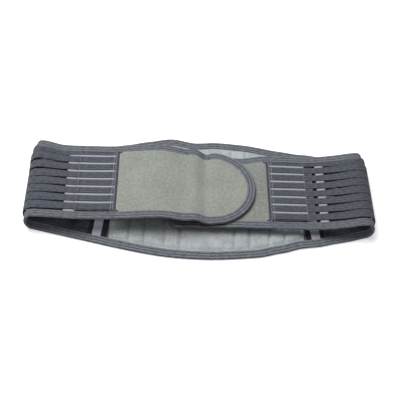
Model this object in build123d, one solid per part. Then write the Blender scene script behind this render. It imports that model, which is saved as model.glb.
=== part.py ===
from build123d import *
import os

os.makedirs("parts", exist_ok=True)

# Lumbar support belt, fastened and lying flattened on its back panel.
# X runs along the belt, +Y is the edge worn upwards, +Z is up. Millimetres.
# The origin is on the floor under the middle of the flattened loop.

# Overall sizes
loop_width = 462.0          # across the two bends
front_height = 127.0        # elastic, flap and tongue, edge to edge
back_height = 205.0         # contoured back panel at its middle
back_shift = 9.0            # back panel's middle, along X
side_height = 168.0         # back panel's edge to edge height at its side seams
side_seam = 140.0           # side seam's middle, each way from the back panel's middle

# Edge binding
binding_width = 12.0
lip = 0.7                   # thickness of each lip of the folded tape
web = 0.8                   # thickness of the tape where it goes round the edge
edge_tape = 2.4             # folded tape on the elastic, where it holds no panel

# Elastic slats
slat_count = 8
slat_thickness = 1.6
slit = 2.4                  # open gap between neighbouring slats
top_slat = 5.0              # width of the first slat, which is partly in the top tape
bottom_slit = 3.2           # open gap between the last slat and the bottom tape
cross_tape = 0.8            # thickness of the tape sewn across behind the slats

# Front panels
face = 1.8                  # loop fabric on its foam backing
lining = 0.9
hook = 1.4                  # hook patch under the tongue
hook_margin = 15.0          # from the tongue's edge to the hook patch
hook_start = 4.0            # from the crease to the hook patch
left_seam = -110.5          # where the left slats meet the flap
left_underlay = -164.0      # far end of the flap's lining, under the slats
left_cross = (-178.0, -167.0)
crease = 7.0                # fold between the flap and the tongue
tongue_tip = 74.0
right_seam = 91.0
right_underlay = 143.0
right_cross = (158.0, 169.0)
panel_end = -44.0           # hidden end of the right panel, under the flap
panel_corner = 18.0

# Back panel layers
shell = 1.6
pad = 2.6
back_lining = 1.0
side_band = (25.0, 0.8)     # width and thickness of the band over each side seam
channel_tape = (12.0, 0.7)  # width and thickness of the tape over each side bone
side_bone = (7.0, 1.0)      # width and thickness
stay = (12.0, 1.0)
stay_offsets = (-92.0, -45.5, 45.5, 92.0)
stay_margin = 8.0           # from the padded edge to a stay's end
bone_margin = 9.0

# Heights of the wings, at the middle of the slats' thickness
rear_level = shell + slat_thickness / 2
bend_level = 28.9
left_dip = 26.4             # lowest point, over the underlay's far end, so the underlay slides clear
left_rise = (-105.0, 28.6)
arch = (-45.0, 32.5)
panel_level = 16.6
right_slope = (140.0, 200.0)
right_mid = 19.2
right_high = 26.0

# Clearances
body_gap = 0.3              # between pieces that move apart
end_gap = 0.4               # between ends that face each other across a joint
fit_gap = 0.1               # round the stays and bones

# Derived sizes
bend_radius = (bend_level - rear_level) / 2
bend_height = (bend_level + rear_level) / 2
bend_x = loop_width / 2 - bend_radius - edge_tape / 2
half_front = front_height / 2
half_back = back_height / 2
half_side = side_height / 2
slat_span = half_front - binding_width
slat_room = 2 * slat_span - top_slat - bottom_slit
slat_width = slat_room / (slat_count - 1) - slit
underlay_half = slat_span - end_gap
seams_x = back_shift - side_seam, back_shift + side_seam
panel_x = seams_x[0] - side_band[0] / 2, seams_x[1] + side_band[0] / 2
padded_x = seams_x[0] + side_band[0] / 2, seams_x[1] - side_band[0] / 2
half_slat = slat_thickness / 2
face_low = -half_slat - body_gap
face_high = face_low + face
lining_low = face_low - lining
hook_low = lining_low - hook
tongue_level = panel_level + face_high + body_gap - hook_low
rim_top = shell + back_lining
padded_top = shell + pad
reach = loop_width          # longer than anything in the model


# ---- Side views of the two wings, along the middle of the slats ----

along = (1, 0, 0)
left_path = Wire([
    Spline(
        (-bend_x, 0, bend_level),
        (left_underlay, 0, left_dip),
        tangents=[along, along],
    ),
    Spline(
        (left_underlay, 0, left_dip),
        (left_rise[0], 0, left_rise[1]),
        (arch[0], 0, arch[1]),
        (crease, 0, tongue_level),
        tangents=[along, along],
    ),
    Line((crease, 0, tongue_level), (tongue_tip + 1, 0, tongue_level)),
])
right_path = Wire([
    Line((panel_end - 1, 0, panel_level), (right_slope[0], 0, panel_level)),
    Spline(
        (right_slope[0], 0, panel_level),
        (sum(right_slope) / 2, 0, right_mid),
        (right_slope[1], 0, right_high),
        (bend_x, 0, bend_level),
        tangents=[along, along],
    ),
])


def box(x0, x1, y0, y1, z0=-reach, z1=reach):
    middle = ((x0 + x1) / 2, (y0 + y1) / 2, (z0 + z1) / 2)
    return Pos(*middle) * Box(x1 - x0, y1 - y0, z1 - z0)


def flat(sketch, low, high):
    """A plan outline made solid between two heights."""
    return Pos(0, 0, low) * extrude(sketch, amount=high - low)


def layer(path, low, high):
    """The endless sheet between two heights above a wing's path."""
    bottom = path.moved(Location((0, 0, low)))
    top = path.moved(Location((0, 0, high)))
    ends = [Line(bottom @ 0, top @ 0), Line(bottom @ 1, top @ 1)]
    section = make_face([*bottom.edges(), *top.edges(), *ends])
    return extrude(section, amount=reach, dir=(0, 1, 0), both=True)


def save(name, *shapes):
    """Write one node. Several shapes are separate solids of the same node."""
    found = [solid for shape in shapes for solid in shape.solids()]
    whole = found[0] if len(found) == 1 else Compound(found)
    export_step(whole, f"parts/{name}.step")


# Lower and upper edge of each slat across the belt, from the top tape down
slat_rows = [(slat_span - top_slat, slat_span)]
for number in range(1, slat_count):
    upper_edge = slat_rows[-1][0] - slit
    slat_rows.append((upper_edge - slat_width, upper_edge))


# ---- Back panel ----

arch_rise = half_back - half_side
arch_radius = (side_seam ** 2 + arch_rise ** 2) / (2 * arch_rise)


def half_height(offset):
    """Half the back panel's height, at a distance from its middle."""
    return half_back - arch_radius + (arch_radius ** 2 - offset ** 2) ** 0.5


def rear_outline(inset, x_range):
    """The belt's rear half in plan, with its long edges drawn in, cut to a stretch of X."""
    left, right = seams_x
    upper = [
        Line((-bend_x, half_front), (left, half_side)),
        ThreePointArc((left, half_side), (back_shift, half_back), (right, half_side)),
        Line((right, half_side), (bend_x, half_front)),
    ]
    upper = [edge.moved(Location((0, -inset, 0))) for edge in upper]
    lower = [edge.mirror(Plane.XZ) for edge in upper]
    corner = half_front - inset
    ends = [Line((x, corner), (x, -corner)) for x in (-bend_x, bend_x)]
    middle = Pos(sum(x_range) / 2, 0) * Rectangle(x_range[1] - x_range[0], 2 * back_height)
    return make_face([*upper, *lower, *ends]) & middle


def stay_blank(length, size, grow=0.0):
    """A flat strip with round ends, standing along Y, in plan."""
    return SlotOverall(length + 2 * grow, size[0] + 2 * grow, rotation=90)


def back_pieces():
    inside = binding_width + back_lining
    wall_x = padded_x[0] + back_lining, padded_x[1] - back_lining

    under = flat(rear_outline(binding_width, panel_x), 0, shell)
    save("back_shell", under + flat(rear_outline(web, panel_x), lip, shell))

    foam = flat(rear_outline(inside, wall_x), shell, padded_top)
    for number, offset in enumerate(stay_offsets, start=1):
        length = 2 * (half_height(offset) - inside - stay_margin)
        place = Pos(back_shift + offset, 0, shell)
        save(f"lumbar_stay_{number}", place * extrude(stay_blank(length, stay), amount=stay[1]))
        foam -= place * extrude(stay_blank(length, stay, fit_gap), amount=stay[1] + fit_gap)
    save("back_pad", foam)

    cover = flat(rear_outline(binding_width, padded_x), shell, padded_top + back_lining)
    cover -= flat(rear_outline(inside, wall_x), shell, padded_top)
    rim = rear_outline(web, panel_x) - rear_outline(binding_width, panel_x)
    save("back_lining", cover + flat(rim, shell, rim_top))


def back_binding():
    """Folded tape round the panel's long edges, which runs on along the rear slats."""
    edge = rear_outline(0, panel_x) - rear_outline(binding_width, panel_x)
    tape = flat(edge, 0, rim_top + lip) - flat(rear_outline(web, panel_x), lip, rim_top)
    for stretch in ((-bend_x, panel_x[0]), (panel_x[1], bend_x)):
        edge = rear_outline(0, stretch) - rear_outline(binding_width, stretch)
        tape += flat(edge, rear_level - edge_tape / 2, rear_level + edge_tape / 2)
    save("back_binding_top", tape & box(-reach, reach, 0, reach))
    save("back_binding_bottom", tape & box(-reach, reach, -reach, 0))


def side_seam_pieces(side, seam_x):
    """The band over the slats' sewn ends, and the side bone in its tape."""
    low = shell + slat_thickness
    top = low + side_band[1]
    stretch = seam_x - side_band[0] / 2, seam_x + side_band[0] / 2
    save(f"{side}_seam_band", flat(rear_outline(binding_width, stretch), low, top))

    tape_length = 2 * (half_side - binding_width - web)
    bone_length = tape_length - 2 * bone_margin
    room = side_bone[1] + fit_gap
    place = Pos(seam_x, 0, top)
    tape = place * extrude(Rectangle(channel_tape[0], tape_length), amount=room + channel_tape[1])
    tape -= place * extrude(stay_blank(bone_length, side_bone, fit_gap), amount=room)
    save(f"{side}_channel_tape", tape)
    save(f"{side}_side_bone", place * extrude(stay_blank(bone_length, side_bone), amount=side_bone[1]))


# ---- Elastic: the same eight slats behind, round the bend and in front ----

def rear_slats(side, bend, sewn):
    """Slats that fan out from the bend to where the side band covers their ends."""
    fan = (half_height(side_seam - side_band[0] / 2) - binding_width) / slat_span
    room = rear_outline(binding_width, sorted((bend, sewn)))
    blanks = []
    for low, high in slat_rows:
        shift = (low + high) / 2 * (fan - 1)
        corners = [(bend, low), (bend, high), (sewn, high + shift), (sewn, low + shift)]
        blank = make_face(Polyline(*corners, close=True)) & room
        blanks.append(flat(blank, shell, shell + slat_thickness))
    save(f"{side}_rear_slats", *blanks)


def bend_ring(sign, thickness, low, high):
    """Half a ring about the fold line of one end, between two places along Y."""
    ring = Cylinder(bend_radius + thickness / 2, reach) - Cylinder(bend_radius - thickness / 2, reach)
    ring = Pos(sign * bend_x, 0, bend_height) * Rot(90, 0, 0) * ring
    outer = sorted((sign * bend_x, sign * reach))
    return ring & box(*outer, low, high)


def bend_pieces(side, sign):
    save(f"{side}_bend_slats", *[bend_ring(sign, slat_thickness, *row) for row in slat_rows])
    edges = ((slat_span, half_front), (-half_front, -slat_span))
    save(f"{side}_bend_bindings", *[bend_ring(sign, edge_tape, *edge) for edge in edges])


def front_elastic(side, path, x_range, cross):
    elastic = layer(path, -half_slat, half_slat)
    for number, row in enumerate(slat_rows, start=1):
        save(f"{side}_slat_{number}", elastic & box(*x_range, *row))
    behind = layer(path, -half_slat - cross_tape, -half_slat)
    save(f"{side}_cross_tape", behind & box(*cross, -slat_span, slat_span))
    tape = layer(path, -edge_tape / 2, edge_tape / 2)
    save(f"{side}_edge_tape_top", tape & box(*x_range, slat_span, half_front))
    save(f"{side}_edge_tape_bottom", tape & box(*x_range, -half_front, -slat_span))


# ---- Front panels: loop face, lining and folded binding ----

def flap_outline(inset):
    edge = half_front - inset
    return box(left_seam, crease - end_gap / 2, -edge, edge)


def tongue_outline(inset):
    """A straight tongue with a half-round end, from the crease on."""
    round_x = tongue_tip - half_front
    radius = half_front - inset
    whole = box(round_x - 2 * half_front, round_x, -radius, radius)
    whole += Pos(round_x, 0) * Cylinder(radius, 2 * reach)
    return whole & box(crease + end_gap / 2, reach, -reach, reach)


def panel_outline(inset):
    """The right panel, whose hidden end has rounded corners."""
    start = panel_end + inset
    blank = Pos((start + right_seam) / 2, 0) * Rectangle(right_seam - start, 2 * (half_front - inset))
    corners = blank.vertices().sort_by(Axis.X)[:2]
    return extrude(fillet(corners, panel_corner - inset), amount=reach, both=True)


def folded_binding(path, outline):
    edge = outline(0) - outline(binding_width)
    tape = layer(path, lining_low - lip, face_high + lip) & edge
    return tape - (layer(path, lining_low, face_high) & outline(web))


def left_panels():
    cloth = layer(left_path, face_low, face_high)
    inner = layer(left_path, lining_low, face_low)
    underlay = box(left_underlay, left_seam, -underlay_half, underlay_half)
    save("flap_face", cloth & flap_outline(web))
    save("flap_lining", inner & (flap_outline(web) + underlay))
    tape = folded_binding(left_path, flap_outline)
    save("flap_binding_top", tape & box(-reach, reach, 0, reach))
    save("flap_binding_bottom", tape & box(-reach, reach, -reach, 0))

    save("tongue_face", cloth & tongue_outline(web))
    save("tongue_lining", inner & tongue_outline(web))
    save("tongue_binding", folded_binding(left_path, tongue_outline))
    patch = tongue_outline(hook_margin) & box(crease + hook_start, reach, -reach, reach)
    save("hook_patch", layer(left_path, hook_low, lining_low) & patch)


def right_panels():
    underlay = box(right_seam, right_underlay, -underlay_half, underlay_half)
    save("right_panel_face", layer(right_path, face_low, face_high) & panel_outline(web))
    save("right_panel_lining", layer(right_path, lining_low, face_low) & (panel_outline(web) + underlay))
    save("right_panel_binding", folded_binding(right_path, panel_outline))


back_pieces()
back_binding()
side_seam_pieces("left", seams_x[0])
side_seam_pieces("right", seams_x[1])
rear_slats("left", -bend_x, padded_x[0])
rear_slats("right", bend_x, padded_x[1])
bend_pieces("left", -1)
bend_pieces("right", 1)
front_elastic("left", left_path, (-bend_x + end_gap, left_seam - end_gap), left_cross)
front_elastic("right", right_path, (right_seam + end_gap, bend_x - end_gap), right_cross)
left_panels()
right_panels()
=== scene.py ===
import math
import bpy
import numpy as np
from mathutils import Matrix, Vector
from mathutils.bvhtree import BVHTree


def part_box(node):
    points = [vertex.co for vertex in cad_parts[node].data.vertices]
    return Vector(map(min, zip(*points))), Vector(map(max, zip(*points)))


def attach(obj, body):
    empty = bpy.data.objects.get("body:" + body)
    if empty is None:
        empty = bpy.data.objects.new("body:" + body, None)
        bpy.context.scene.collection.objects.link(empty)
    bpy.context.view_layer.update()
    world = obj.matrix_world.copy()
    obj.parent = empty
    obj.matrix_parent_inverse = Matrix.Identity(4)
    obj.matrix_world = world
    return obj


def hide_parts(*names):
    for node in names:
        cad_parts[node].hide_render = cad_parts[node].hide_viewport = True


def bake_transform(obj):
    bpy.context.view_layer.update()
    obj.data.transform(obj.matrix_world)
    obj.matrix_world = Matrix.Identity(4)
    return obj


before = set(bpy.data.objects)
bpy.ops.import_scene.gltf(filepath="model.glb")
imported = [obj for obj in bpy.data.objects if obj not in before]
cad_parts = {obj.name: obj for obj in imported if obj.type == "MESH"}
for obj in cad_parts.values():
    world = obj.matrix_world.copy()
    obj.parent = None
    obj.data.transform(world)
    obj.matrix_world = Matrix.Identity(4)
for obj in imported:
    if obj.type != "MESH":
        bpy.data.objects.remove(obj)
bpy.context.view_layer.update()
scene = bpy.context.scene
mm = 0.001


def low(node):
    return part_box(node)[0]


def high(node):
    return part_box(node)[1]


def middle(node, axis):
    return (getattr(low(node), axis) + getattr(high(node), axis)) / 2


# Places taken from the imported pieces
slatThick = high("left_rear_slats").z - low("left_rear_slats").z
rearLevel = middle("left_rear_slats", "z")
bendX = -high("left_bend_slats").x
bendRadius = (high("left_bend_slats").z - low("left_bend_slats").z - slatThick) / 2
slatSpan = low("left_edge_tape_top").y
halfFront = high("left_edge_tape_top").y
tapeWidth = halfFront - slatSpan
creaseX = (high("flap_face").x + low("tongue_face").x) / 2
tongueTip = high("tongue_binding").x
leftSeam, rightSeam = low("flap_face").x, high("right_panel_face").x
leftUnderlay, rightUnderlay = low("flap_lining").x, high("right_panel_lining").x
panelEnd = low("right_panel_binding").x
backLeft, backRight = low("left_seam_band").x, high("right_seam_band").x
padLeft, padRight = low("back_pad").x, high("back_pad").x

bends = {"handOver": 11.5 * mm, "rearStep": 4 * mm, "frontStep": 3 * mm, "turnPoints": 27,
         "fanRun": 100 * mm, "swingFrom": 4 * mm, "leftSwingTo": 26.5 * mm, "rightSwingTo": 25 * mm}
splitX = bendX - bends["handOver"]  # where the bend's pieces hand over to the front's
crisp = math.radians(70)            # edges sharper than this stay sharp when shaded


def smooth(t):
    t = np.clip(t, 0, 1)
    return t * t * (3 - 2 * t)


def ramp(value, start, full):  # 0 before start and 1 past full, which are in millimetres
    return smooth((np.asarray(value, float) / mm - start) / (full - start))


def smoothThrough(places, x):  # the value at x of a soft line through (place, value) pairs in millimetres
    x = np.asarray(x, float) / mm
    value = np.full_like(x, places[0][1], dtype=float)
    for (x0, v0), (x1, v1) in zip(places, places[1:]):
        value = np.where(x > x0, v0 + (v1 - v0) * smooth((x - x0) / (x1 - x0)), value)
    return value * mm


def bump(x, centre, width):
    return np.exp(-0.5 * ((np.asarray(x, float) - centre * mm) / (width * mm)) ** 2)


def ripple(x, y, size, seed):  # slow uneven rise and fall of cloth, between about -1 and 1
    x, y = np.asarray(x, float) / size, np.asarray(y, float) / size
    return (np.sin(1.7 * x + 2.1 * y + seed) * np.cos(1.3 * y - 0.7 * x + 2 * seed)
            + 0.5 * np.sin(3.1 * x - 2.3 * y + 3 * seed)) / 1.5


def treeOf(node):
    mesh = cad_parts[node].data
    return BVHTree.FromPolygons([v.co for v in mesh.vertices], [list(p.vertices) for p in mesh.polygons])


def heightLine(pieces):  # the middle of the slats' thickness along a wing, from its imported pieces' tops
    line = []
    for node, y, above in pieces:
        tree = treeOf(node)
        for x in np.arange(-216, 217, 3) * mm:
            hit = tree.ray_cast(Vector((x, y, 1)), Vector((0, 0, -1)))[0]
            if hit:
                line.append((x, hit.z - above))
    line.sort()
    return np.array(line).T


def edgeLine(node):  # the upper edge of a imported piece, seen from above
    tree = treeOf(node)
    line = []
    for x in np.arange(-bendX, bendX, 4 * mm):
        hit = tree.ray_cast(Vector((x, 1, 2 * mm)), Vector((0, -1, 0)))[0]
        if hit:
            line.append((x, hit.y))
    return np.array(line).T


faceTop = high("right_panel_face").z - low("right_slat_4").z - slatThick / 2
halfEdgeTape = 1.2 * mm
tapeY = (slatSpan + halfFront) / 2
leftLine = heightLine([("left_edge_tape_top", tapeY, halfEdgeTape), ("flap_face", 0, faceTop),
                       ("tongue_face", 0, faceTop)])
rightLine = heightLine([("right_edge_tape_top", tapeY, halfEdgeTape), ("right_panel_face", 0, faceTop)])
backLine = edgeLine("back_binding_top")

# How the sewn belt differs from the even frame, in millimetres. A swell is its height, where it starts
# and is full along the belt, and the same across it. A fold is its height, its middle and width along
# the belt, and where it starts and is full across it.
shape = {
    "topEdge": [(-150, 0), (-97, -1), (-70, 1), (-43, 3.6), (-4, -5), (24, -2.9), (60, -3.7), (104, -6.5),
                (128, -6), (165, -1), (200, 0)],
    "bottomEdge": [(-110, 0), (-30, 2.2), (0, 2.2), (75, 0.8), (104, -2.3), (130, -5), (165, -2), (200, 0)],
    "cornerFlare": (6.0, (-186, -216), (8, 44)),
    "hiddenSag": (-2.5, (30, -30), (-20, -60)),
    "underSag": (-2.4, (88, 55), (-45, -15)),
    "underTopSag": (-4.0, (88, 55), (-5, 40)),
    "creaseDip": (-1.8, (8, 5.5), None),
    "creaseTopDip": (-3.6, (8, 5.5), (10, 60)),
    "creaseRoll": (4.0, (-7, 7), None),
    "creaseBump": (4.0, (0, 22), (10, -50)),
    "ripple": 0.35, "rippleSize": 30, "pull": (47, 57.5), "topPull": 6.5, "bottomPull": 3.5,
}


def swell(name, x, y):
    rise, along, across = shape[name]
    return rise * mm * ramp(x, *along) * ramp(y, *across)


def fold(name, x, y):
    rise, along, across = shape[name]
    return rise * mm * bump(x, *along) * (ramp(y, *across) if across else 1)


def backEdge(x, sign):  # how far the back panel's top (+1) or bottom (-1) edge is from the middle
    line = np.interp(x, backLine[0], backLine[1])
    return line + smoothThrough(shape["topEdge" if sign > 0 else "bottomEdge"], x)


def frontHeight(side, x, y):  # the middle of the slats' thickness on the left (-1) or right (+1) wing
    line = leftLine if side < 0 else rightLine
    x, y = np.asarray(x, float), np.asarray(y, float)
    z = np.interp(x, line[0], line[1]) + fold("creaseDip", x, y) + fold("creaseTopDip", x, y)
    z = z + shape["ripple"] * mm * ripple(x, y, shape["rippleSize"] * mm, 1.0 if side < 0 else 2.4)
    if side < 0:
        return z + swell("cornerFlare", x, y) + fold("creaseRoll", x, y) + fold("creaseBump", x, y)
    return z + swell("hiddenSag", x, y) + swell("underSag", x, y) + swell("underTopSag", x, y)


def sideLine(side, y, rearX, frontX, drop=0.0):  # from the back panel round a bend; drop lowers its back
    sign = 1 if y > 0 else -1
    rear = np.arange(rearX, bendX - 1 * mm, bends["rearStep"])
    angle = np.radians(np.linspace(-90, 90, bends["turnPoints"]))
    front = np.linspace(bendX - 2 * mm, frontX, max(3, int((bendX - frontX) / bends["frontStep"])))
    inner = backEdge(side * rear, sign) - tapeWidth
    opened = smooth((bendX - rear) / bends["fanRun"])
    spread = (y - drop * (1 - 0.5 * opened)) * inner / slatSpan if abs(y) < slatSpan \
        else sign * (inner + abs(y) - slatSpan)
    pull = shape["topPull" if y > 0 else "bottomPull"] * mm * ramp(abs(y), *shape["pull"])
    top = float(frontHeight(side, side * bendX, y))
    centre, rise = (top + rearLevel) / 2, (top - rearLevel) / 2
    points = [(side * x, v, rearLevel) for x, v in zip(rear, spread)]
    ups = [(0, 0, -1)] * len(points)
    for a in angle:
        out = bendX + (bendRadius - pull) * math.cos(a)
        below = drop * smooth(-1.6 * math.sin(a))
        points.append((side * out, y - below, centre + rise * math.sin(a)))
        ups.append((side * math.cos(a), 0, math.sin(a)))
    for x in front:
        points.append((side * x, y, float(frontHeight(side, side * x, y))))
        ups.append((0, 0, 1))
    return np.array(points), np.array(ups, float)


def flatLine(x, y, z):  # a line of cloth that faces up
    return np.stack([x, y, z], 1), np.tile((0.0, 0, 1), (len(x), 1))


def frontLine(side, y, fromX, toX, step):
    x = np.linspace(fromX, toX, max(3, int(abs(toX - fromX) / step)))
    y = np.full_like(x, y)
    return flatLine(x, y, frontHeight(side, x, y))


def squared(points, ups):  # the line's directions, and the outward ones made square to them
    t = np.gradient(points, axis=0)
    t /= np.linalg.norm(t, axis=1)[:, None]
    ups = ups - (ups * t).sum(1)[:, None] * t
    return t, ups / np.linalg.norm(ups, axis=1)[:, None]


def beside(line, across, above):  # a line moved across the cloth and off its surface
    points, ups = line[:2]
    t, ups = squared(points, ups)
    return points + across * np.cross(ups, t) + above * ups, ups


def newTree(name, **sizes):  # sizes gives the kind of each socket that a piece's settings fill
    tree = bpy.data.node_groups.new(name, "GeometryNodeTree")
    for label, kind in {"Geometry": "Geometry", **sizes, "Material": "Material"}.items():
        tree.interface.new_socket(label, in_out="INPUT", socket_type="NodeSocket" + kind)
    tree.interface.new_socket("Geometry", in_out="OUTPUT", socket_type="NodeSocketGeometry")
    return tree, tree.nodes.new("NodeGroupInput").outputs, tree.nodes.new("NodeGroupOutput")


def adder(tree):
    def add(kind, inputs=None, **settings):
        node = tree.nodes.new(kind)
        for key, value in settings.items():
            setattr(node, key, value)
        for key, value in (inputs or {}).items():
            if isinstance(value, bpy.types.NodeSocket):
                tree.links.new(value, node.inputs[key])
            else:
                node.inputs[key].default_value = value
        return node
    return add


def calc(add, operation, *values):  # one step of arithmetic between sockets or numbers
    return add("ShaderNodeMath", dict(enumerate(values)), operation=operation).outputs[0]


def realized(tree, add, shape, material, result):  # every tree's last two steps
    real = add("GeometryNodeRealizeInstances", {"Geometry": shape})
    done = add("GeometryNodeSetMaterial", {"Geometry": real.outputs["Geometry"], "Material": material})
    tree.links.new(done.outputs["Geometry"], result.inputs["Geometry"])
    return tree


def makeTapeTree():  # woven tape swept along a guide's lines, with soft edges and lengthwise ribs
    tree, given, result = newTree("sweptTape", Width="Float", Thickness="Float", Corner="Float",
                                  Ribs="Int", RibDepth="Float", Step="Float")
    add = adder(tree)
    path = add("GeometryNodeMeshToCurve", {"Mesh": given["Geometry"]})
    up = add("GeometryNodeInputNamedAttribute", {"Name": "up"}, data_type="FLOAT_VECTOR")
    turned = add("GeometryNodeSetCurveNormal",
                 {"Curve": path.outputs["Curve"], "Normal": up.outputs["Attribute"]}, mode="FREE")
    run = add("GeometryNodeSplineParameter")
    along = add("GeometryNodeCaptureAttribute", {"Geometry": turned.outputs["Curve"]})
    along.capture_items.new("FLOAT", "Along")
    tree.links.new(run.outputs["Length"], along.inputs["Along"])

    section = add("GeometryNodeCurvePrimitiveQuadrilateral",
                  {"Width": given["Thickness"], "Height": given["Width"]}).outputs["Curve"]
    soft = add("GeometryNodeFilletCurve", {"Curve": section, "Count": 3, "Radius": given["Corner"],
                                           "Limit Radius": True}, mode="POLY").outputs["Curve"]
    even = add("GeometryNodeResampleCurve", {"Curve": soft, "Length": given["Step"]}, mode="LENGTH")
    place = add("GeometryNodeInputPosition")
    parts = add("ShaderNodeSeparateXYZ", {0: place.outputs[0]})
    turns = calc(add, "MULTIPLY", calc(add, "DIVIDE", parts.outputs["Y"], given["Width"]), given["Ribs"])
    wave = calc(add, "COSINE", calc(add, "MULTIPLY", turns, 2 * math.pi))
    depth = calc(add, "MULTIPLY", wave, given["RibDepth"])
    shift = calc(add, "MULTIPLY", depth, calc(add, "SIGN", parts.outputs["X"]))
    offset = add("ShaderNodeCombineXYZ", {"X": shift})
    ribbed = add("GeometryNodeSetPosition", {"Geometry": even.outputs["Curve"], "Offset": offset.outputs[0]})
    across = add("GeometryNodeCaptureAttribute", {"Geometry": ribbed.outputs["Geometry"]})
    across.capture_items.new("FLOAT", "Across")
    tree.links.new(parts.outputs["Y"], across.inputs["Across"])

    size = add("GeometryNodeInputNamedAttribute", {"Name": "size"}, data_type="FLOAT")
    swept = add("GeometryNodeCurveToMesh",
                {"Curve": along.outputs["Geometry"], "Profile Curve": across.outputs["Geometry"],
                 "Scale": size.outputs["Attribute"], "Fill Caps": True})
    pair = add("ShaderNodeCombineXYZ", {"X": along.outputs["Along"], "Y": across.outputs["Across"]})
    flat = add("GeometryNodeStoreNamedAttribute",
               {"Geometry": swept.outputs["Mesh"], "Name": "UVMap", "Value": pair.outputs[0]},
               data_type="FLOAT2", domain="CORNER")
    shaded = add("GeometryNodeSetShadeSmooth", {"Geometry": flat.outputs["Geometry"]})
    return realized(tree, add, shaded.outputs["Geometry"], given["Material"], result)


def makeStitchTree():  # thread stitches laid end to end along a guide's lines
    tree, given, result = newTree("stitchRow", Spacing="Float", Stitch="Float", Thread="Float",
                                  Wander="Float", Seed="Int")
    add = adder(tree)
    path = add("GeometryNodeMeshToCurve", {"Mesh": given["Geometry"]})
    dots = add("GeometryNodeCurveToPoints",
               {"Curve": path.outputs["Curve"], "Length": given["Spacing"]}, mode="LENGTH")
    sway = add("FunctionNodeRandomValue", {"Seed": given["Seed"]}, data_type="FLOAT_VECTOR")
    tree.links.new(calc(add, "MULTIPLY", given["Wander"], -1.0), sway.inputs[0])
    tree.links.new(given["Wander"], sway.inputs[1])
    moved = add("GeometryNodeSetPosition", {"Geometry": dots.outputs["Points"], "Offset": sway.outputs[0]})
    grain = add("GeometryNodeMeshUVSphere", {"Segments": 6, "Rings": 4, "Radius": 0.5})
    shaded = add("GeometryNodeSetShadeSmooth", {"Geometry": grain.outputs["Mesh"]})
    size = add("ShaderNodeCombineXYZ", {"X": given["Thread"], "Y": given["Thread"], "Z": given["Stitch"]})
    laid = add("GeometryNodeInstanceOnPoints",
               {"Points": moved.outputs["Geometry"], "Instance": shaded.outputs["Geometry"],
                "Rotation": dots.outputs["Rotation"], "Scale": size.outputs[0]})
    return realized(tree, add, laid.outputs["Instances"], given["Material"], result)


def placed(name, data):  # an object of its own at the origin
    item = bpy.data.objects.new(name, data)
    scene.collection.objects.link(item)
    return item


def shaped(name, points, faces, uvs, material):  # a smooth mesh piece
    mesh = bpy.data.meshes.new(name)
    mesh.from_pydata(points.tolist(), [], faces)
    mesh.uv_layers.new(name="UVMap").data.foreach_set("uv", uvs.ravel())
    mesh.polygons.foreach_set("use_smooth", [True] * len(mesh.polygons))
    mesh.materials.append(material)
    return placed(name, mesh)


def guideOf(lines):  # a loose mesh that holds each line's points, outward directions and widths
    points, edges, ups, sizes = [], [], [], []
    for line in lines:
        base = len(points)
        points.extend(map(tuple, line[0]))
        ups.extend(squared(*line[:2])[1])
        sizes.extend(line[2] if len(line) > 2 else np.ones(len(line[0])))
        edges.extend((base + i, base + i + 1) for i in range(len(line[0]) - 1))
    mesh = bpy.data.meshes.new("guide")
    mesh.from_pydata(points, edges, [])
    mesh.attributes.new("up", "FLOAT_VECTOR", "POINT").data.foreach_set("vector", np.ravel(ups))
    mesh.attributes.new("size", "FLOAT", "POINT").data.foreach_set("value", np.ravel(sizes))
    return mesh


def grow(name, tree, lines, **sizes):  # runs a tree on the lines and keeps a plain mesh piece
    guide = placed("guide", guideOf(lines))
    modifier = guide.modifiers.new("grow", "NODES")
    modifier.node_group = tree
    for item in tree.interface.items_tree:
        if item.in_out == "INPUT" and item.name in sizes:
            modifier[item.identifier] = sizes[item.name]
    graph = bpy.context.evaluated_depsgraph_get()
    mesh = bpy.data.meshes.new_from_object(guide.evaluated_get(graph), depsgraph=graph)
    bpy.data.objects.remove(guide)
    mesh.name = name
    mesh.set_sharp_from_angle(angle=crisp)
    return placed(name, mesh)


def cloth(name, colour, rough=0.9, sheen=0.0):
    material = bpy.data.materials.new(name)
    material.use_nodes = True
    add = adder(material.node_tree)
    surface = material.node_tree.nodes["Principled BSDF"]
    surface.inputs["Base Color"].default_value = (*colour, 1)
    surface.inputs["Roughness"].default_value = rough
    surface.inputs["Specular IOR Level"].default_value = 0.2
    surface.inputs["Sheen Weight"].default_value = sheen
    surface.inputs["Sheen Roughness"].default_value = 0.6
    return material, add, surface


def sewnCoordinate(add):  # metres along and across the cloth
    return add("ShaderNodeUVMap", uv_map="UVMap").outputs[0]


def scaled(add, source, size):
    return add("ShaderNodeMapping", {"Vector": source, "Scale": size}).outputs[0]


def mixed(add, tone, dark, light, darkTo=0.0, lightFrom=1.0):  # a colour between dark and light
    ramp = add("ShaderNodeValToRGB", {"Fac": tone})
    for point, colour, place in zip(ramp.color_ramp.elements, (dark, light), (darkTo, lightFrom)):
        point.color, point.position = (*colour, 1), place
    return ramp.outputs[0]


def coloured(add, surface, *tones):
    surface.id_data.links.new(mixed(add, *tones), surface.inputs["Base Color"])


def stripes(add, coordinate, axis, period):  # a soft wave from 0 to 1 along one axis, period in metres
    parts = add("ShaderNodeSeparateXYZ", {0: coordinate})
    wave = calc(add, "COSINE", calc(add, "MULTIPLY", parts.outputs[axis], 2 * math.pi / period))
    return calc(add, "MULTIPLY_ADD", wave, 0.5, 0.5)


def blended(add, a, b, share):
    return calc(add, "MULTIPLY_ADD", b, share, calc(add, "MULTIPLY", a, 1 - share))


def bumped(add, surface, height, strength, distance):
    node = add("ShaderNodeBump", {"Height": height, "Strength": strength, "Distance": distance})
    surface.id_data.links.new(node.outputs[0], surface.inputs["Normal"])


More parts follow.
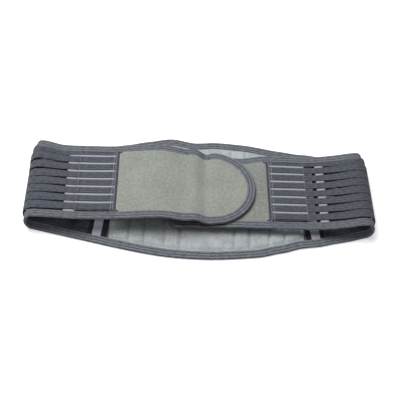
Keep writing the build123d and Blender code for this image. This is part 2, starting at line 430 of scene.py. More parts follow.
def mottle(add, coordinate, scale, detail=3.0):
    return add("ShaderNodeTexNoise", {"Vector": coordinate, "Scale": scale, "Detail": detail}).outputs["Fac"]


# Woven tape: lengthwise tonal ribs, a fine cross weave and uneven dye. shaded is painted shade that dims its
# first end, the rear of a bend piece that lies in shadow under the wing.
def ribbedTape(name, dark, light, rib=0.00413, cross=0.0012, uneven=0.42, shaded=1.0):
    material, add, surface = cloth(name, light, 0.9, 0.06)
    uv = sewnCoordinate(add)
    ribs = stripes(add, uv, "Y", rib)
    weft = stripes(add, uv, "X", cross)
    patches = mottle(add, scaled(add, uv, (0.4, 1, 1)), 420.0, 4.0)
    grain = add("ShaderNodeMapRange", {"Value": patches, "From Min": 0.36, "From Max": 0.64}).outputs[0]
    tone = blended(add, blended(add, ribs, grain, uneven), weft, 0.15)
    place = add("ShaderNodeSeparateXYZ", {0: uv}).outputs["X"]
    # painted shade: the colour is scaled down to shaded up to 75 mm along the tape, fading back to full by
    # 115 mm
    dim = add("ShaderNodeMapRange", {"Value": place, "From Min": 0.075, "From Max": 0.115, "To Min": shaded})
    dyed = mixed(add, tone, dark, light, 0.2, 0.8)
    colour = add("ShaderNodeVectorMath", {0: dyed, "Scale": dim.outputs[0]}, operation="SCALE")
    surface.id_data.links.new(colour.outputs[0], surface.inputs["Base Color"])
    bumped(add, surface, blended(add, ribs, weft, 0.55), 0.5, 0.00035)
    return material


def pile(name, dark, light):  # brushed loop fabric: short mottled fuzz that lies in patches
    material, add, surface = cloth(name, light, 0.96, 0.25)
    uv = sewnCoordinate(add)
    patches = mottle(add, uv, 260.0, 4.0)
    fuzz = mottle(add, uv, 900.0, 3.0)
    wide = mottle(add, uv, 28.0, 2.0)
    tone = blended(add, blended(add, patches, fuzz, 0.45), wide, 0.2)
    coloured(add, surface, tone, dark, light, 0.36, 0.64)
    bumped(add, surface, blended(add, patches, fuzz, 0.5), 0.6, 0.0009)
    return material


def meshCloth(name, dark, light, cell=0.0016):  # knitted spacer mesh: round cells over a soft mottle
    material, add, surface = cloth(name, light, 0.9, 0.15)
    uv = sewnCoordinate(add)
    cells = add("ShaderNodeTexVoronoi", {"Vector": uv, "Scale": 1 / cell, "Randomness": 0.25})
    patches = blended(add, mottle(add, uv, 60.0, 4.0), mottle(add, uv, 420.0, 3.0), 0.5)
    tone = blended(add, patches, cells.outputs["Distance"], 0.2)
    coloured(add, surface, tone, dark, light, 0.34, 0.6)
    bumped(add, surface, cells.outputs["Distance"], 0.5, 0.0003)
    return material


def plainWeave(name, dark, light, thread=0.0008, sheen=0.05):
    material, add, surface = cloth(name, light, 0.85, sheen)
    uv = sewnCoordinate(add)
    weave = blended(add, stripes(add, uv, "X", thread), stripes(add, uv, "Y", thread), 0.5)
    tone = blended(add, weave, mottle(add, uv, 90.0), 0.5)
    coloured(add, surface, tone, dark, light)
    bumped(add, surface, weave, 0.4, 0.0003)
    return material


def moulded(name, colour, rough, metal=0.0):
    material, add, surface = cloth(name, colour, rough)
    surface.inputs["Metallic"].default_value = metal
    place = add("ShaderNodeTexCoord").outputs["Object"]
    grain = mottle(add, scaled(add, place, (1, 0.05, 1)), 900.0)
    coloured(add, surface, grain, tuple(0.85 * c for c in colour), tuple(min(1, 1.1 * c) for c in colour))
    bumped(add, surface, grain, 0.15, 0.0002)
    return material


# Moulded hook tape: rows of tiny stiff hooks on a dark ground.
def hookTape(name, dark, light, along=0.0016, across=0.0013):
    material, add, surface = cloth(name, light, 0.5)
    uv = sewnCoordinate(add)
    rows = calc(add, "MULTIPLY", stripes(add, uv, "X", along), stripes(add, uv, "Y", across))
    coloured(add, surface, rows, dark, light)
    bumped(add, surface, rows, 0.9, 0.001)
    return material


ribTones = (0.041, 0.045, 0.057), (0.074, 0.080, 0.097)
tapeTones = (0.055, 0.060, 0.073), (0.150, 0.161, 0.180)
hemTones = (0.066, 0.072, 0.085), (0.122, 0.131, 0.148)
hemBendTones = (0.060, 0.066, 0.078), (0.136, 0.146, 0.164)
finish = {
    "rib": ribbedTape("ribElastic", *ribTones, 0.0037, 0.0011, 0.75),
    # The bend copies dim their rear ends by shaded: painted shade where the rear lies in shadow under the
    # wing.
    "ribBendPaintedShade": ribbedTape("ribElasticBendPaintedShade", *ribTones, 0.0037, 0.0011, 0.75, 0.68),
    # The seam strip is darker than the elastic it is made of: painted shade at the face's edge over a real
    # turned-in strip.
    "seam": ribbedTape("seamStripPaintedShade", (0.024, 0.027, 0.036), (0.062, 0.067, 0.082), 0.0022, 0.0014, 0.4),
    "tape": ribbedTape("bindingTape", *tapeTones),
    "tapeBendPaintedShade": ribbedTape("bindingTapeBendPaintedShade", *tapeTones, shaded=0.9),
    "hemTape": ribbedTape("hemTape", *hemTones, uneven=0.72),
    "hemBendPaintedShade": ribbedTape("hemTapeBendPaintedShade", *hemBendTones, uneven=0.55, shaded=0.88),
    "backTape": ribbedTape("backBindingTape", (0.050, 0.055, 0.067), (0.158, 0.169, 0.188)),
    "pile": pile("loopPile", (0.152, 0.165, 0.148), (0.256, 0.274, 0.245)),
    # A darker copy of the loop pile: painted shade for the right panel, which lies in the tongue's shadow.
    "pilePaintedShade": pile("loopPilePaintedShade", (0.118, 0.130, 0.118), (0.222, 0.240, 0.218)),
    "wingLining": plainWeave("wingLining", (0.23, 0.24, 0.268), (0.33, 0.34, 0.37)),
    "shell": plainWeave("shellFabric", (0.065, 0.07, 0.082), (0.115, 0.121, 0.14), 0.0010),
    "spacer": meshCloth("spacerLining", (0.215, 0.238, 0.248), (0.375, 0.40, 0.405)),
    "band": plainWeave("blackBand", (0.006, 0.006, 0.010), (0.016, 0.016, 0.024)),
    "channel": plainWeave("channelTape", (0.25, 0.24, 0.29), (0.37, 0.36, 0.42)),
    "hook": hookTape("hookTape", (0.02, 0.021, 0.025), (0.11, 0.115, 0.13)),
    "thread": moulded("sewingThread", (0.15, 0.157, 0.18), 0.7),
    "paleThread": moulded("paleThread", (0.36, 0.37, 0.40), 0.7),
    "quiltThread": moulded("quiltThread", (0.14, 0.15, 0.165), 0.7),
    "steel": moulded("staySteel", (0.6, 0.6, 0.62), 0.35, 1.0),
    "bone": moulded("bonePlastic", (0.7, 0.7, 0.7), 0.45),
}
print("materials", len(finish))


# A closed cloth panel on a grid. lowEdge and highEdge give y at x, height the level at x and y, under
# and over the two faces from there. rounded names the ends, 0 or 1, whose pile rolls over by rollOver.
def panel(name, material, xs, lowEdge, highEdge, height, under, over, rows=40, rounded=(), rollOver=1.6 * mm):
    x = np.repeat(xs, rows + 1)
    start, tall = lowEdge(xs), highEdge(xs) - lowEdge(xs)
    y = (start[:, None] + tall[:, None] * np.linspace(0, 1, rows + 1)).ravel()
    level = height(x, y)
    roll = np.ones(len(x))
    for end in rounded:
        away = np.clip(np.abs(x - xs[-end]) / rollOver, 0, 1)
        roll = np.minimum(roll, np.sqrt(np.clip(1 - (1 - away) ** 2, 0, 1)))
    thick = (over(x, y) if callable(over) else over) - under
    top = level + under + thick * np.maximum(roll, 0.05)
    points = np.concatenate([np.stack([x, y, top], 1), np.stack([x, y, level + under], 1)])
    grid = np.arange(len(x)).reshape(len(xs), rows + 1)
    upper = np.stack([grid[:-1, :-1], grid[1:, :-1], grid[1:, 1:], grid[:-1, 1:]], -1).reshape(-1, 4)
    rim = np.concatenate([grid[:, 0], grid[-1, 1:], grid[-2::-1, -1], grid[0, -2:0:-1]])
    ahead = np.roll(rim, -1)
    walls = np.stack([rim, rim + len(x), ahead + len(x), ahead], 1)
    faces = np.concatenate([upper, upper[:, ::-1] + len(x), walls]).tolist()
    return shaped(name, points, faces, points[np.ravel(faces)][:, :2], material)


def evenLine(value):
    return lambda xs: np.full_like(np.asarray(xs, float), value)


def onFloor(x, y):
    return np.zeros_like(x)


def mirrored(edge):
    return lambda xs: -edge(xs)


wings = {-1: "left", 1: "right"}
edges = {"top": 1, "bottom": -1}

# Layers of the front panels, from the middle of the slats' thickness
layers = {"faceLow": -1.1 * mm, "faceHigh": 0.7 * mm, "liningLow": -2.0 * mm, "hookLow": -3.3 * mm}
bindMid = (layers["faceHigh"] + layers["liningLow"]) / 2
nap = {"lift": 0.25 * mm, "fuzz": 0.12 * mm, "size": 4 * mm}


def napTop(seed):  # the uneven top of the brushed loops
    return lambda x, y: layers["faceHigh"] + nap["lift"] + nap["fuzz"] * ripple(x, y, nap["size"], seed)


def leftWing(x, y):
    return frontHeight(-1, x, y)


def rightWing(x, y):
    return frontHeight(1, x, y)


def swing(piece):  # bakes the piece's placement into its mesh
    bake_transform(piece)


def stretched(piece):  # bakes the piece's placement into its mesh
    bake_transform(piece)


def peeled(piece):  # bakes the piece's placement into its mesh
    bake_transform(piece)


def shows(piece, slot, *nodes):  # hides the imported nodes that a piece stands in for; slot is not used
    if nodes:
        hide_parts(*nodes)


def rides(piece, body, slot, *nodes):
    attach(piece, body)
    shows(piece, slot, *nodes)


tapeTree = makeTapeTree()
stitchTree = makeStitchTree()
binding = {"Width": 12.4 * mm, "Thickness": 3.4 * mm, "Corner": 1.5 * mm, "Ribs": 3,
           "RibDepth": 0.22 * mm, "Step": 0.6 * mm}
stitch = {"Spacing": 3.0 * mm, "Stitch": 2.3 * mm, "Thread": 0.55 * mm, "Wander": 0.1 * mm, "Seed": 5}
sewIn = binding["Width"] / 2 - 1.7 * mm     # from a binding's middle to its sewing


def tape(name, lines, material, sizes, **changed):
    return grow(name, tapeTree, lines, Material=material, **{**sizes, **changed})


def sewn(name, lines, material=None, **changed):
    return grow(name, stitchTree, lines, Material=material or finish["thread"], **{**stitch, **changed})


# A folded binding and its sewing, which is a row on each face, sewAcross off the binding's middle.
def bound(name, line, material, sizes, sewAcross, motion, nodes=(), sewingName=None):
    rows = [beside(line, sewAcross, above) for above in (sizes["sewAbove"], -sizes["sewAbove"])]
    pieces = [tape(name, [line], material, sizes), sewn(sewingName or f"{name}_stitches", rows)]
    for piece, shown in zip(pieces, (nodes, ())):
        motion(piece)
        shows(piece, "binding_tape", *shown)


def joined(name, pieces):  # several pieces of one material made one mesh
    points, faces, uvs, base = [], [], [], 0
    for piece in pieces:
        mesh = piece.data
        places = np.zeros(len(mesh.vertices) * 3)
        mesh.vertices.foreach_get("co", places)
        points.append(places.reshape(-1, 3))
        faces.extend([base + i for i in p.vertices] for p in mesh.polygons)
        uv = np.zeros(len(mesh.loops) * 2)
        mesh.uv_layers[0].data.foreach_get("uv", uv)
        uvs.append(uv)
        base += len(mesh.vertices)
    whole = shaped(name, np.concatenate(points), faces, np.concatenate(uvs), mesh.materials[0])
    whole.data.set_sharp_from_angle(angle=crisp)
    for piece in pieces:
        bpy.data.objects.remove(piece)
    return whole


# Slats: bend and topBend are how much wider a slat is at the bend, and from where along the belt.
slats = {"Width": 11.1 * mm, "TopWidth": 8.6 * mm, "Thickness": 1.5 * mm, "Corner": 0.65 * mm, "Ribs": 3,
         "RibDepth": 0.05 * mm, "Step": 0.6 * mm, "lineStep": 2.8 * mm, "topTuck": 1.4 * mm,
         "rearTuck": 5 * mm, "seamTuck": 0.2 * mm, "sewnNarrower": 0.9, "sewnEnds": (170, 182),
         "bend": (1.17, 180 * mm), "topBend": (1.42, 156 * mm), "widenRun": 30 * mm, "fanRun": 20 * mm,
         "underBend": (14, 4), "rearGap": 0.9 * mm, "lastLow": 1.6 * mm, "lastWider": 3.2 * mm}


def slatSize(points, pitch, width, more, wider, fromX):  # a slat's width at each point, as a share of width
    away, level = np.abs(points[:, 0]), points[:, 2]
    narrow = slats["sewnNarrower"]
    front = narrow + (1 - narrow) * ramp(away, *slats["sewnEnds"]) \
        + (wider - 1) * smooth((away - fromX) / slats["widenRun"])
    fan = (backEdge(points[:, 0], np.sign(points[0, 1])) - tapeWidth) / slatSpan
    rear = np.maximum(((pitch + more) * fan - slats["rearGap"]) / width, 1)
    opened = smooth((bendX - away) / slats["fanRun"])
    under = wider + more / width * ramp(level, *slats["underBend"])
    whole = np.where(away > bendX - 1 * mm, np.maximum(front, under), front)
    return np.where(level < rearLevel + 1 * mm, rear * opened + under * (1 - opened), whole)


def addSlats():  # eight on each side: one piece from the rear round the bend, one across the front
    rows = [middle(f"left_slat_{k}", "y") for k in range(1, 9)]
    rows[0] += slats["topTuck"]
    for side, word in wings.items():
        inner = abs(backLeft if side < 0 else backRight) - slats["rearTuck"]
        end = (leftSeam if side < 0 else rightSeam) + side * slats["seamTuck"]
        for part in ("bend", "front"):
            pieces = []
            for y in rows:
                width = slats["TopWidth" if y == rows[0] else "Width"]
                drop, more = (slats["lastLow"], slats["lastWider"]) if y == rows[-1] else (0, 0)
                if part == "bend":
                    line = sideLine(side, y, inner, splitX, drop)
                else:
                    line = frontLine(side, y, side * splitX, end, slats["lineStep"])
                wider = slats["topBend" if y == rows[0] else "bend"]
                line = (*line, slatSize(line[0], rows[1] - rows[2], width, more, *wider))
                pieces.append(tape(f"{word}_{part}_slats_{len(pieces)}", [line],
                                   finish["ribBendPaintedShade" if part == "bend" else "rib"], slats, Width=width))
            piece = joined(f"{word}_{part}_slats", pieces)
            if part == "bend":
                swing(piece)
                shows(piece, "rib_elastic", f"{word}_rear_slats", f"{word}_bend_slats")
            else:
                stretched(piece)
                shows(piece, "rib_elastic", *[f"{word}_slat_{k}" for k in range(1, 9)])
    print("slats", len(rows))


edgeTape = {**binding, "Thickness": 3.0 * mm, "sewAbove": 1.5 * mm, "rearDrop": 0.5 * mm,
            "lineStep": 2.8 * mm}


def addEdgeTapes():  # folded tape along the elastic's edges, round each bend to the front panel
    for side, word in wings.items():
        seamX = leftSeam if side < 0 else rightSeam
        inner = abs(backLeft if side < 0 else backRight)
        for edge, sign in edges.items():
            around = sideLine(side, sign * tapeY, inner, splitX)
            around[0][:, 2] += np.linspace(-edgeTape["rearDrop"], 0, len(around[0]))
            bound(f"{word}_bend_tape_{edge}", around, finish["tapeBendPaintedShade" if sign > 0 else "hemBendPaintedShade"], edgeTape,
                  -sign * sewIn, lambda piece: swing(piece),
                  nodes=[f"{word}_bend_bindings"] if sign > 0 else [])
            across = frontLine(side, sign * tapeY, side * splitX, seamX, edgeTape["lineStep"])
            bound(f"{word}_front_tape_{edge}", across, finish["tape" if sign > 0 else "hemTape"], edgeTape,
                  side * sign * sewIn, lambda piece: stretched(piece),
                  nodes=[f"{word}_edge_tape_{edge}"])
    print("edge tapes")


underlay = {"below": 0.7 * mm, "above": 0.25 * mm, "puff": 0.35 * mm, "puffHalf": 1.0 * mm,
            "puffFade": 1.0 * mm, "inset": 0.4 * mm, "column": 3 * mm, "rows": 200, "tuck": 1 * mm,
            "lowEdge": 0.6 * mm}
underlayLow = low("left_slat_8").y + underlay["lowEdge"]


def backing(name, side, x0, x1, lowY):  # cloth sewn behind the slats, which puffs up a little in the slits
    slits = [(low(f"left_slat_{k}").y + high(f"left_slat_{k + 1}").y) / 2 for k in range(1, 8)]
    under, top = layers["faceLow"] - underlay["below"], layers["faceLow"] + underlay["above"]

    def over(x, y):
        away = [np.abs(y - slit) - underlay["puffHalf"] for slit in slits]
        ridge = sum(1 - smooth(a / underlay["puffFade"]) for a in away)
        return top + (underlay["puff"] - top) * ridge

    xs = np.linspace(x0, x1, max(4, int((x1 - x0) / underlay["column"])))
    return panel(name, finish["wingLining"], xs, evenLine(lowY), evenLine(slatSpan - underlay["inset"]),
                 leftWing if side < 0 else rightWing, under, over, underlay["rows"])


def addUnderlay(name, side, x0, x1, body, restsOn, *nodes):
    piece = backing(name, side, x0, x1, underlayLow)
    rides(piece, body, "wing_lining", *nodes)


def addCrossTapes():  # webbing sewn across behind the slats
    for side, word in wings.items():
        node = f"{word}_cross_tape"
        inner = leftUnderlay + 0.5 * mm if side < 0 else high(node).x
        piece = backing(f"{word}_cross_webbing", side, low(node).x, inner, underlay["inset"] - slatSpan)
        stretched(piece)
        shows(piece, "cross_webbing", node)
    print("cross tapes")


panelTape = {**binding, "Thickness": 3.9 * mm, "Corner": 1.8 * mm, "sewAbove": 1.85 * mm,
             "lineStep": 3 * mm}
flap = {"inset": 1.2 * mm, "firstColumns": (0, 0.4, 0.9, 1.6), "column": 2.5 * mm, "tongueColumn": 2 * mm,
        "tipGap": 3 * mm, "faceRows": 60, "liningRows": 40, "napSeed": 0.3, "turnPoints": 56,
        "hookInset": 15 * mm, "hookEnd": 1.5 * mm}


def tongueEdge(inset):  # half the flap's height at x, with the tongue's round end
    tipX, radius = tongueTip - halfFront, halfFront - inset
    return lambda xs: np.where(xs > tipX, np.sqrt(np.maximum(radius ** 2 - (xs - tipX) ** 2, 0)), radius)


def addFlap():  # flap and tongue are one cloth: loop face, lining, folded binding and hook tape
    half = tongueEdge(flap["inset"])
    straight = np.arange(leftSeam, creaseX, flap["column"])[1:]
    xs = np.concatenate([leftSeam + np.array(flap["firstColumns"]) * mm, straight,
                         np.arange(creaseX, tongueTip - flap["tipGap"], flap["tongueColumn"])])
    piece = panel("flap_and_tongue_face", finish["pile"], xs, mirrored(half), half, leftWing,
                  layers["faceLow"], napTop(flap["napSeed"]), flap["faceRows"], rounded=(0,))
    peeled(piece)
    shows(piece, "loop_pile", "flap_face", "tongue_face")

    piece = panel("flap_and_tongue_lining", finish["wingLining"], xs, mirrored(half), half, leftWing,
                  layers["liningLow"], layers["faceLow"], flap["liningRows"])
    peeled(piece)
    shows(piece, "wing_lining", "tongue_lining")

    addUnderlay("flap_underlay", -1, leftUnderlay, leftSeam + underlay["tuck"], "flap",
                "flap_and_tongue_lining", "flap_lining")

    tipX, radius = tongueTip - halfFront, halfFront - tapeWidth / 2
    run = np.arange(leftSeam, tipX, panelTape["lineStep"])
    turn = np.radians(np.linspace(90, -90, flap["turnPoints"]))
    x = np.concatenate([run, tipX + radius * np.cos(turn), run[::-1]])
    y = np.concatenate([np.full(len(run), radius), radius * np.sin(turn), np.full(len(run), -radius)])
    line = flatLine(x, y, leftWing(x, y) + bindMid)
    bound("flap_and_tongue_binding", line, finish["tape"], panelTape, -sewIn, peeled,
          nodes=["flap_binding_top", "flap_binding_bottom", "tongue_binding"],
          sewingName="flap_and_tongue_stitches")

    inner = tongueEdge(flap["hookInset"])
    xs = np.arange(low("hook_patch").x, high("hook_patch").x - flap["hookEnd"], flap["tongueColumn"])
    piece = panel("hook_tape", finish["hook"], xs, mirrored(inner), inner, leftWing,
                  layers["hookLow"], layers["liningLow"], flap["liningRows"])
    peeled(piece)
    shows(piece, "hook_plastic", "hook_patch")
    print("flap and tongue")


rightPanel = {"inset": 1.2 * mm, "startInset": 1.4 * mm, "corner": 18 * mm, "column": 2.5 * mm,
              "lastColumns": (1.6, 0.9, 0.4, 0), "napSeed": 1.9, "napFrom": 12 * mm, "faceRows": 60,
              "liningRows": 40, "cornerPoints": 12, "endPoints": 34}


def panelEdge(inset):  # half the right panel's height at x, with its two round corners
    end, radius, half = panelEnd + inset, rightPanel["corner"] - inset, halfFront - inset

    def edge(xs):
        away = np.clip(end + radius - xs, 0, radius)
        return half - radius + np.sqrt(np.maximum(radius ** 2 - away ** 2, 0))
    return edge


def closedBy(endX, top, count, x, y):  # half an outline, then its straight end and its mirror image
    down = np.linspace(top, -top, count)[1:-1]
    return np.concatenate([x, np.full(len(down), endX), x[::-1]]), np.concatenate([y, down, -y[::-1]])


def panelOutline():  # the binding's line along the top, round the hidden end and back
    inset, corner = tapeWidth / 2, rightPanel["corner"]
    radius, top = corner - inset, halfFront - corner
    run = np.arange(rightSeam, panelEnd + corner, -panelTape["lineStep"])
    turn = np.radians(np.linspace(90, 180, rightPanel["cornerPoints"]))
    x = np.concatenate([run, panelEnd + corner + radius * np.cos(turn)])
    y = np.concatenate([np.full(len(run), halfFront - inset), top + radius * np.sin(turn)])
    x, y = closedBy(panelEnd + inset, top, rightPanel["endPoints"], x, y)
    return flatLine(x, y, rightWing(x, y) + bindMid)


def addRightPanel():
    half = panelEdge(rightPanel["inset"])
    start = panelEnd + rightPanel["startInset"]
    xs = np.concatenate([np.arange(start, rightSeam - 2 * mm, rightPanel["column"]),
                         rightSeam - np.array(rightPanel["lastColumns"]) * mm])
    brushed = napTop(rightPanel["napSeed"])
    pressed = tongueTip - rightPanel["napFrom"]     # the tongue presses the loops flat up to here
    # The right face takes the darker pile copy, painted shade under the tongue.
    piece = panel("right_face", finish["pilePaintedShade"], xs, mirrored(half), half, rightWing, layers["faceLow"],
                  lambda x, y: np.where(x > pressed, brushed(x, y), layers["faceHigh"]),
                  rightPanel["faceRows"], rounded=(1,))
    rides(piece, "right_panel", "loop_pile", "right_panel_face")
    piece = panel("right_lining", finish["wingLining"], xs, mirrored(half), half, rightWing,
                  layers["liningLow"], layers["faceLow"], rightPanel["liningRows"])
    rides(piece, "right_panel", "wing_lining", "right_panel_lining")

    addUnderlay("right_underlay", 1, rightSeam - underlay["tuck"], rightUnderlay, "right_panel",
                "right_lining")
    bound("right_binding", panelOutline(), finish["tape"], panelTape, sewIn,
          lambda piece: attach(piece, "right_panel"), nodes=["right_panel_binding"])
    print("right panel")


seam = {"Width": 4.6 * mm, "Thickness": 1.7 * mm, "Corner": 0.8 * mm, "Ribs": 2, "RibDepth": 0.1 * mm,
        "Step": 0.6 * mm, "out": 1.9 * mm, "above": 0.35 * mm, "corner": 6.0 * mm, "past": 0.7 * mm,
        "bars": {"Spacing": 2.4 * mm, "Stitch": 1.9 * mm, "Thread": 0.8 * mm},
        "hold": {"Spacing": 2.6 * mm, "Stitch": 1.6 * mm, "Thread": 0.5 * mm},
        "zigzag": 0.9 * mm, "barsAbove": 1.25 * mm, "rowAbove": 0.95 * mm, "turns": 44}


def stitchesAcross(side, x, zigzag=0.0, above=seam["rowAbove"]):  # a row sewn from edge to edge of a wing
    count = seam["turns"] + 1
    ys = np.linspace(1 * mm - slatSpan, slatSpan - 1 * mm, count)
    xs = x + zigzag * np.where(np.arange(count) % 2, 1, -1)
    return flatLine(xs, ys, frontHeight(side, xs, ys) + above)


def seamOutline(side, outer):  # the turned-in strip's line, rounded at its two ends
    turn = np.radians(np.linspace(90, 180, 9))
    straight = slatSpan + seam["past"] - seam["corner"]
    x, y = closedBy(outer, straight, seam["turns"], outer - side * seam["corner"] * (1 + np.cos(turn)),
                    straight + seam["corner"] * np.sin(turn))
    return flatLine(x, y, frontHeight(side, x, y) + seam["above"])


def addSeams():  # strips that close the panels' ends, and the stitch rows that hold the slats
    for side, word in wings.items():
        body = "flap" if side < 0 else "right_panel"
        outer = (leftSeam if side < 0 else rightSeam) + side * seam["out"]
        under = leftUnderlay if side < 0 else rightUnderlay
        # The strip's dark colour is partly painted shade at the face's edge.
        piece = tape(f"{word}_seam_strip", [seamOutline(side, outer)], finish["seam"], seam)
        rides(piece, body, "rib_elastic")
        rows = [stitchesAcross(side, outer + side * seam["Width"] * 0.3, seam["zigzag"], seam["barsAbove"]),
                stitchesAcross(side, outer + side * seam["Width"])]
        piece = sewn(f"{word}_seam_stitches", rows, finish["paleThread"], **seam["bars"])
        rides(piece, body, "rib_elastic")
        piece = sewn(f"{word}_slat_stitches", [stitchesAcross(side, under - side * 1.5 * mm)],
                     finish["paleThread"], **seam["hold"])
        stretched(piece)
        shows(piece, "rib_elastic")
    print("seams")


back = {"inset": 1.5 * mm, "coverLow": 0.1 * mm, "coverHigh": 1.6 * mm, "coverColumns": 190, "coverRows": 60,
        "quiltColumns": 200, "quiltRows": 120, "channelHalf": 10 * mm, "channelWidth": 1.5,
        "channelDepth": 0.75, "rimHigh": 2.6 * mm, "puff": 2.8 * mm, "rimRun": 6 * mm,
        "wrinkle": 0.6 * mm, "wrinkleSize": 12 * mm,
        "pucker": 0.35 * mm, "puckerSize": 6 * mm, "smoothMiddle": 50 * mm, "fill": 0.35, "thread": 0.5 * mm}
stays = [f"lumbar_stay_{k}" for k in range(1, 5)]
channels = sorted(middle(stay, "x") + d * back["channelHalf"] for stay in stays for d in (-1, 1))


def backInner(sign):
    return lambda x: sign * (backEdge(x, sign) - back["inset"])


def quiltTop(x, y):  # the padded lining's height, drawn down along its channels and at its rim
    puff = np.ones_like(x)
    for c in channels:
        puff = puff - back["channelDepth"] * bump(x, c / mm, back["channelWidth"])
    fromEnd = np.minimum(np.abs(x - padLeft), np.abs(x - padRight))
    fromEdge = np.where(y > 0, backEdge(x, 1), backEdge(x, -1)) - tapeWidth - np.abs(y)
    rim = smooth(fromEnd / back["rimRun"]) * smooth(fromEdge / back["rimRun"])
    wrinkle = back["wrinkle"] * ripple(x, y * 0.35, back["wrinkleSize"], 0.8) \
        + back["pucker"] * ripple(x, y, back["puckerSize"], 2.1)
    wrinkle = wrinkle * smooth(np.abs(y) / back["smoothMiddle"])
    return back["rimHigh"] + (back["puff"] * puff + wrinkle) * rim


def addBackCover():
    xs = np.linspace(backLeft, backRight, back["coverColumns"])
    piece = panel("back_cover", finish["shell"], xs, backInner(-1), backInner(1), onFloor,
                  back["coverLow"], back["coverHigh"], back["coverRows"])
    rides(piece, "back_panel", "shell_fabric", "back_shell")
    tall = backInner(1)(xs) - backInner(-1)(xs)


def addQuilt():  # pale lining quilted over the foam, with a sewn channel each side of every stay
    xs = np.linspace(padLeft - 1 * mm, padRight + 1 * mm, back["quiltColumns"])
    piece = panel("back_quilt", finish["spacer"], xs, backInner(-1), backInner(1), onFloor,
                  back["coverHigh"], quiltTop, back["quiltRows"])
    rides(piece, "back_panel", "spacer_lining", "back_lining", "back_pad")

    rows = []
    for c in channels:
        ys = np.linspace(tapeWidth - float(backEdge(c, -1)), float(backEdge(c, 1)) - tapeWidth, 60)
        x = np.full_like(ys, c)
        rows.append(flatLine(x, ys, quiltTop(x, ys) + 0.15 * mm))
    piece = sewn("back_quilt_stitches", rows, finish["quiltThread"], Thread=back["thread"])
    rides(piece, "back_panel", "spacer_lining")


bands = {"end": 11.2 * mm, "bow": 5.5 * mm, "points": 60, "dipStart": 15 * mm, "dipRun": 3.5 * mm,
         "dip": 2.2 * mm, "tapeDip": 2.6 * mm, "tapeThicker": 0.1 * mm, "sewIn": 1.2 * mm,
         "sewAbove": 0.95 * mm}
bandTape = {**slats, "Thickness": 1.0 * mm, "Corner": 0.45 * mm, "RibDepth": 0.02 * mm}
boneTape = {**slats, "Corner": 0.8 * mm}


def addSideBands():  # a black band over each side seam, and a pale tape over each side bone
    for side, word in wings.items():
        band, cover = f"{word}_seam_band", f"{word}_channel_tape"
        centre = middle(band, "x")
        top, bottom = float(backEdge(centre, 1)), float(backEdge(centre, -1))
        ys = np.linspace(bands["end"] - bottom, top - bands["end"], bands["points"])
        x = centre + bands["bow"] * side * (np.abs(ys) / top) ** 3
        near = smooth((bands["dipStart"] - np.minimum(top - ys, ys + bottom)) / bands["dipRun"])
        line = flatLine(x, ys, (low(band).z + bandTape["Thickness"] / 2) * (1 - near) + bands["dip"] * near)
        piece = tape(f"{word}_black_band", [line], finish["band"], bandTape, Width=high(band).x - low(band).x)
        rides(piece, "back_panel", "black_band", band)

        width, thick = high(cover).x - low(cover).x, high(cover).z - low(cover).z + bands["tapeThicker"]
        pale = flatLine(x, ys, middle(cover, "z") * (1 - near) + bands["tapeDip"] * near)
        piece = tape(f"{word}_bone_tape", [pale], finish["channel"], boneTape, Width=width, Thickness=thick)
        rides(piece, "back_panel", "channel_tape", cover)
        rows = [beside(pale, s * (width / 2 - bands["sewIn"]), bands["sewAbove"]) for s in (-1, 1)]
        piece = sewn(f"{word}_bone_tape_stitches", rows, finish["paleThread"])
        rides(piece, "back_panel", "channel_tape")


backTape = {**binding, "Thickness": 3.6 * mm, "Corner": 1.6 * mm, "sewAbove": 1.75 * mm,
            "level": 1.95 * mm, "past": 3 * mm, "points": 110}


def addBackTapes():
    for edge, sign in edges.items():
        x = np.linspace(backLeft - backTape["past"], backRight + backTape["past"], backTape["points"])
        line = flatLine(x, sign * (backEdge(x, sign) - tapeWidth / 2), np.full_like(x, backTape["level"]))
        bound(f"back_tape_{edge}", line, finish["backTape"], backTape, -sign * sewIn,
              lambda piece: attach(piece, "back_panel"), nodes=[f"back_binding_{edge}"])


def dressStays():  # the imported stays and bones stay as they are, with a finish of their own
    for node in stays + ["left_side_bone", "right_side_bone"]:
        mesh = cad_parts[node].data
        mesh.materials.clear()
        mesh.materials.append(finish["steel" if "stay" in node else "bone"])


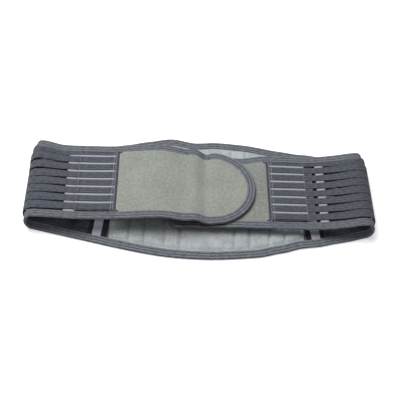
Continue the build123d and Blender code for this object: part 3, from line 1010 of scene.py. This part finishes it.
def addBack():
    addBackCover()
    addQuilt()
    addSideBands()
    addBackTapes()
    dressStays()
    print("back panel", len(channels))


studio = {"floorHalf": 6, "floorTone": 0.72, "floorGlow": 0.42, "world": 0.25,
          "lamps": [("soft_top", (-0.45, 0.35, 1.45), 1.2, 35), ("soft_front", (0.3, -0.9, 1.6), 1.4, 2.5)]}
camera = {"spin": -3.55, "tilt": 90 - 50.4, "roll": 4.4, "place": (0.0004, -0.0038, 1.153), "lens": 76.5,
          "sensor": 36}


def addFloor():
    far = studio["floorHalf"]
    mesh = bpy.data.meshes.new("floor")
    mesh.from_pydata([(-far, -far, 0), (far, -far, 0), (far, far, 0), (-far, far, 0)], [], [(0, 1, 2, 3)])
    floor = placed("floor", mesh)
    paper, add, surface = cloth("paper", (studio["floorTone"],) * 3, 0.95)
    surface.inputs["Emission Color"].default_value = (1, 1, 1, 1)
    surface.inputs["Emission Strength"].default_value = studio["floorGlow"]
    mesh.materials.append(paper)


def addLights():
    world = bpy.data.worlds.new("studio")
    world.use_nodes = True
    world.node_tree.nodes["Background"].inputs["Color"].default_value = (1, 1, 1, 1)
    world.node_tree.nodes["Background"].inputs["Strength"].default_value = studio["world"]
    scene.world = world
    for name, place, size, power in studio["lamps"]:
        light = bpy.data.lights.new(name, "AREA")
        light.size, light.energy = size, power
        lamp = placed(name, light)
        lamp.location = place
        lamp.rotation_euler = (-Vector(place)).to_track_quat("-Z", "Y").to_euler()
    scene.view_settings.view_transform = "Standard"


def addCamera():
    spin, tilt, roll = [Matrix.Rotation(math.radians(camera[turn]), 4, axis)
                        for turn, axis in (("spin", "Z"), ("tilt", "X"), ("roll", "Z"))]
    lens = bpy.data.cameras.new("camera")
    lens.lens, lens.sensor_width = camera["lens"], camera["sensor"]
    scene.camera = placed("camera", lens)
    scene.camera.matrix_world = spin @ tilt @ roll @ Matrix.Translation(Vector(camera["place"]))


def addStage():
    addFloor()
    addLights()
    addCamera()
    print("stage")


addSlats()
addEdgeTapes()
addCrossTapes()
addFlap()
addRightPanel()
addSeams()
addBack()
addStage()
